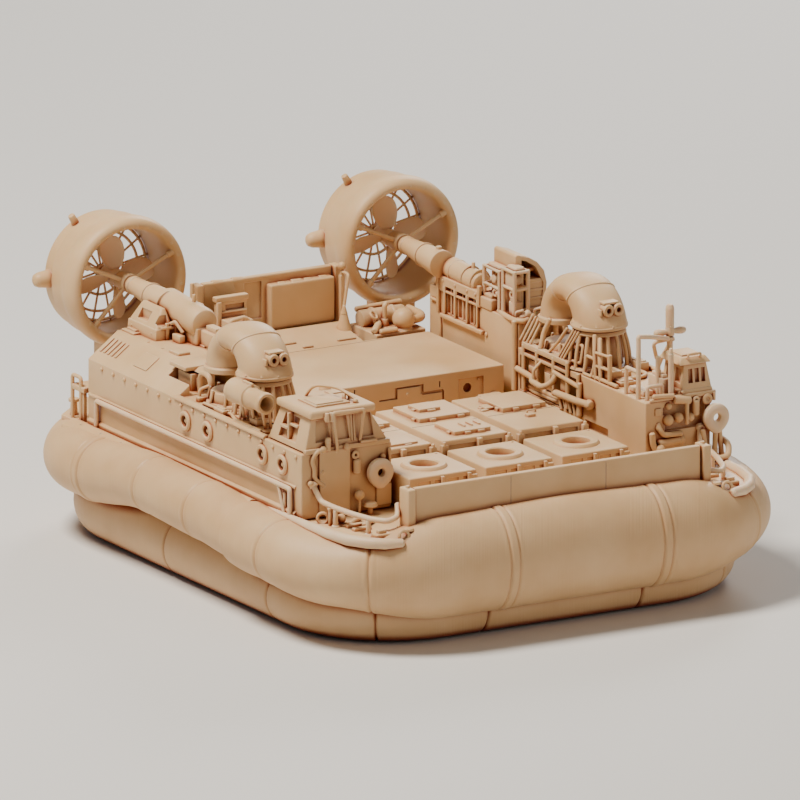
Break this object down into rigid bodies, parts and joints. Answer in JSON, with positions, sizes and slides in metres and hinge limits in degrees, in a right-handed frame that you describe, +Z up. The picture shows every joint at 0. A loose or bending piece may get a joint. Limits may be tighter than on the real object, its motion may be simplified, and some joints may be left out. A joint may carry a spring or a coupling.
{
  "type": "scale model of an air-cushion landing craft",
  "caption": "Resin scale model of a landing hovercraft with an open cargo deck, side deckhouses, ducted propellers aft, swivelling bow thrusters and hinged ramps.",
  "frame": {"origin": "on the ground under the middle of the skirt", "axes": "-Y towards the bow, +X to port, +Z up"},
  "size_m": [0.1986, 0.2414, 0.1065],
  "materials": {
    "hull_resin": "unpainted cast resin, peach cream, matt with soft sheen",
    "skirt_resin": "unpainted cast resin with fine layer lines",
    "trim_resin": "unpainted cast resin, smooth on thin parts"
  },
  "bodies": {
    "craft": {"raft_deck": "hull_resin", "skirt_bag": "skirt_resin", "skirt_fingers": "skirt_resin", "starboard_deckhouse": "hull_resin", "port_deckhouse": "hull_resin", "starboard_cabin": "hull_resin", "port_cabin": "hull_resin", "starboard_duct": "hull_resin", "port_duct": "hull_resin", "starboard_grille": "trim_resin", "port_grille": "trim_resin", "starboard_shaft_housing": "hull_resin", "port_shaft_housing": "hull_resin", "starboard_thruster_cage": "hull_resin", "port_thruster_cage": "hull_resin", "deck_platform": "hull_resin", "front_module_1": "hull_resin", "front_module_2": "hull_resin", "front_module_3": "hull_resin", "rear_module_1": "hull_resin", "rear_module_2": "hull_resin", "rear_module_3": "hull_resin", "starboard_exhaust_tube": "trim_resin", "starboard_fender": "trim_resin", "port_fender": "trim_resin", "starboard_side_rail": "trim_resin", "port_side_rail": "trim_resin", "starboard_bow_rail": "trim_resin", "port_bow_rail": "trim_resin", "port_intake": "hull_resin", "starboard_aft_house": "hull_resin", "port_mast": "trim_resin", "stern_locker": "hull_resin", "stern_bottles": "hull_resin"},
    "starboard_fan": {"starboard_propeller": "trim_resin"},
    "port_fan": {"port_propeller": "trim_resin"},
    "starboard_nozzle": {"starboard_thruster_nozzle": "hull_resin"},
    "port_nozzle": {"port_thruster_nozzle": "hull_resin"},
    "bow_ramp_body": {"bow_ramp": "hull_resin"},
    "stern_ramp_body": {"stern_ramp": "hull_resin"},
    "radar": {"radar_bar": "trim_resin"}
  },
  "joints": [
    {"name": "starboard_fan_spin", "type": "hinge", "parent": "craft", "child": "starboard_fan", "pos_m": [-0.05505, 0.108, 0.0829], "axis": [0, 1, 0], "continuous": true},
    {"name": "port_fan_spin", "type": "hinge", "parent": "craft", "child": "port_fan", "pos_m": [0.05505, 0.108, 0.0829], "axis": [0, 1, 0], "continuous": true},
    {"name": "starboard_nozzle_swivel", "type": "hinge", "parent": "craft", "child": "starboard_nozzle", "pos_m": [-0.0671, -0.0183, 0.078], "axis": [0, 0, 1], "range_deg": [-90, 60]},
    {"name": "port_nozzle_swivel", "type": "hinge", "parent": "craft", "child": "port_nozzle", "pos_m": [0.0671, -0.0183, 0.078], "axis": [0, 0, 1], "range_deg": [-60, 90]},
    {"name": "bow_ramp_hinge", "type": "hinge", "parent": "craft", "child": "bow_ramp_body", "pos_m": [0, -0.104, 0.0412], "axis": [1, 0, 0], "range_deg": [0, 14]},
    {"name": "stern_ramp_hinge", "type": "hinge", "parent": "craft", "child": "stern_ramp_body", "pos_m": [0, 0.0982, 0.0412], "axis": [-1, 0, 0], "range_deg": [0, 88]},
    {"name": "radar_spin", "type": "hinge", "parent": "craft", "child": "radar", "pos_m": [0.0782, -0.048, 0.0798], "axis": [0, 0, 1], "continuous": true}
  ]
}
